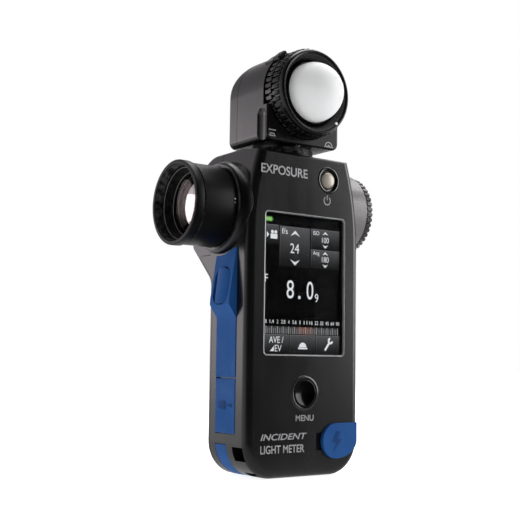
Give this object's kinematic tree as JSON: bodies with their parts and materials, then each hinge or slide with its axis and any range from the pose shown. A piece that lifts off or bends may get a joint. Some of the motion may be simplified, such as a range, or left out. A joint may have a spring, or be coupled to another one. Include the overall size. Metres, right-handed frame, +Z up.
{
  "type": "handheld light meter",
  "caption": "Slim handheld exposure meter with touch screen, side spot-finder barrel and eyepiece, blue rubber grips, and a swivelling head with a retracting white dome.",
  "frame": {"origin": "centre of the flat base, on the axis of the tripod thread", "axes": "+Z up the case to the head; -Y out of the screen towards the user; +X towards the eyepiece, -X out of the finder's objective"},
  "size_m": [0.0941, 0.0591, 0.1764],
  "materials": {
    "case_black": "fine matt texture",
    "metal_black": "black satin anodised",
    "blue_rubber": "matt moulded rubber",
    "black_rubber": "matt",
    "gloss_black": "polished",
    "bezel_grey": "satin",
    "panel_glass": "polished cover glass",
    "display": "polished",
    "optic_glass": "coated, polished",
    "dome_white": "milky translucent",
    "carrier_black": "matt",
    "button_alloy": "satin champagne",
    "circuit_board": "solder mask",
    "steel": "plated",
    "switch_plastic": "matt",
    "cell_label": "printed sleeve"
  },
  "bodies": {
    "case": {"front_shell": "case_black", "rear_shell": "case_black", "finder_housing": "case_black", "screen_bezel": "bezel_grey", "touch_glass": "panel_glass", "lcd_module": "display", "main_board": "circuit_board", "tact_switches": "switch_plastic", "battery_tray": "case_black", "batteries": "cell_label", "battery_contacts": "steel", "battery_hinge_pin": "steel", "tripod_bush": "steel", "left_grip_strip": "blue_rubber", "right_grip_strip": "blue_rubber", "corner_guard": "blue_rubber", "usb_socket": "steel", "sync_socket": "steel", "sync_tether": "blue_rubber", "power_bezel": "gloss_black", "menu_bezel": "gloss_black", "case_screws": "steel", "objective_flange": "metal_black", "objective_barrel": "metal_black", "objective_front_ring": "metal_black", "objective_hood": "metal_black", "objective_lens": "optic_glass", "lens_retainer": "metal_black", "prism_housing": "case_black", "finder_prism": "optic_glass", "spot_sensor": "switch_plastic", "eyepiece_flange": "metal_black", "eyepiece_barrel": "metal_black", "neck_collar": "case_black", "swivel_washer": "steel"},
    "battery_door": {"battery_cover": "case_black"},
    "door_latch": {"latch_slider": "case_black"},
    "power_key": {"power_button": "button_alloy"},
    "menu_key": {"menu_button": "gloss_black"},
    "measure_key": {"measuring_button": "blue_rubber"},
    "memory_key": {"memory_button": "blue_rubber"},
    "usb_flap": {"usb_cover": "blue_rubber"},
    "sync_flap": {"sync_cap": "blue_rubber"},
    "dioptre": {"dioptre_ring": "metal_black", "eyecup": "black_rubber"},
    "eye_cell": {"eyepiece_lens_cell": "metal_black", "eyepiece_lens": "optic_glass"},
    "head": {"swivel_shaft": "steel", "head_housing": "case_black", "head_rear_cover": "case_black", "head_screws": "steel", "sensor_board": "circuit_board", "light_sensor": "switch_plastic"},
    "dome_ring": {"retracting_ring": "metal_black", "ring_tab": "metal_black"},
    "dome_slide": {"dome_carrier": "carrier_black", "dome": "dome_white", "cam_pins": "steel"}
  },
  "joints": [
    {"name": "head_swivel", "type": "hinge", "parent": "case", "child": "head", "pos_m": [0, 0.004, 0.132], "axis": [0, 0, 1], "range_deg": [-180, 90]},
    {"name": "dome_ring_turn", "type": "hinge", "parent": "head", "child": "dome_ring", "pos_m": [0, -0.008, 0.1574], "axis": [0, 1, 0], "range_deg": [0, 90]},
    {"name": "dome_retract", "type": "slide", "parent": "head", "child": "dome_slide", "axis": [0, 1, 0], "range_m": [0, 0.0101]},
    {"name": "dioptre_turn", "type": "hinge", "parent": "case", "child": "dioptre", "pos_m": [0.036, 0.0067, 0.1119], "axis": [1, 0, 0], "range_deg": [-90, 90]},
    {"name": "dioptre_focus", "type": "slide", "parent": "case", "child": "eye_cell", "axis": [1, 0, 0], "range_m": [-0.0016, 0.0016]},
    {"name": "power_press", "type": "slide", "parent": "case", "child": "power_key", "axis": [0, 1, 0], "range_m": [0, 0.0008], "stiffness_N_per_m": 600},
    {"name": "menu_press", "type": "slide", "parent": "case", "child": "menu_key", "axis": [0, 1, 0], "range_m": [0, 0.0008], "stiffness_N_per_m": 600},
    {"name": "measure_press", "type": "slide", "parent": "case", "child": "measure_key", "axis": [1, 0, 0], "range_m": [0, 0.0009], "stiffness_N_per_m": 600},
    {"name": "memory_press", "type": "slide", "parent": "case", "child": "memory_key", "axis": [-1, 0, 0], "range_m": [0, 0.0009], "stiffness_N_per_m": 600},
    {"name": "battery_door_open", "type": "hinge", "parent": "case", "child": "battery_door", "pos_m": [0, 0.0136, 0.0109], "axis": [-1, 0, 0], "range_deg": [0, 95]},
    {"name": "latch_slide", "type": "slide", "parent": "battery_door", "child": "door_latch", "axis": [0, 0, -1], "range_m": [0, 0.0025]},
    {"name": "usb_flap_open", "type": "hinge", "parent": "case", "child": "usb_flap", "pos_m": [-0.0294, 0.0015, 0.03915], "axis": [0, 1, 0], "range_deg": [0, 110]},
    {"name": "sync_flap_open", "type": "hinge", "parent": "case", "child": "sync_flap", "pos_m": [0.0272, -0.0142, 0.014], "axis": [0, 0, 1], "range_deg": [0, 110]}
  ],
  "couplings": [
    {"joint": "dome_retract", "follows": "dome_ring_turn", "m_per_rad": 0.006366},
    {"joint": "dioptre_focus", "follows": "dioptre_turn", "m_per_rad": 0.000955}
  ]
}
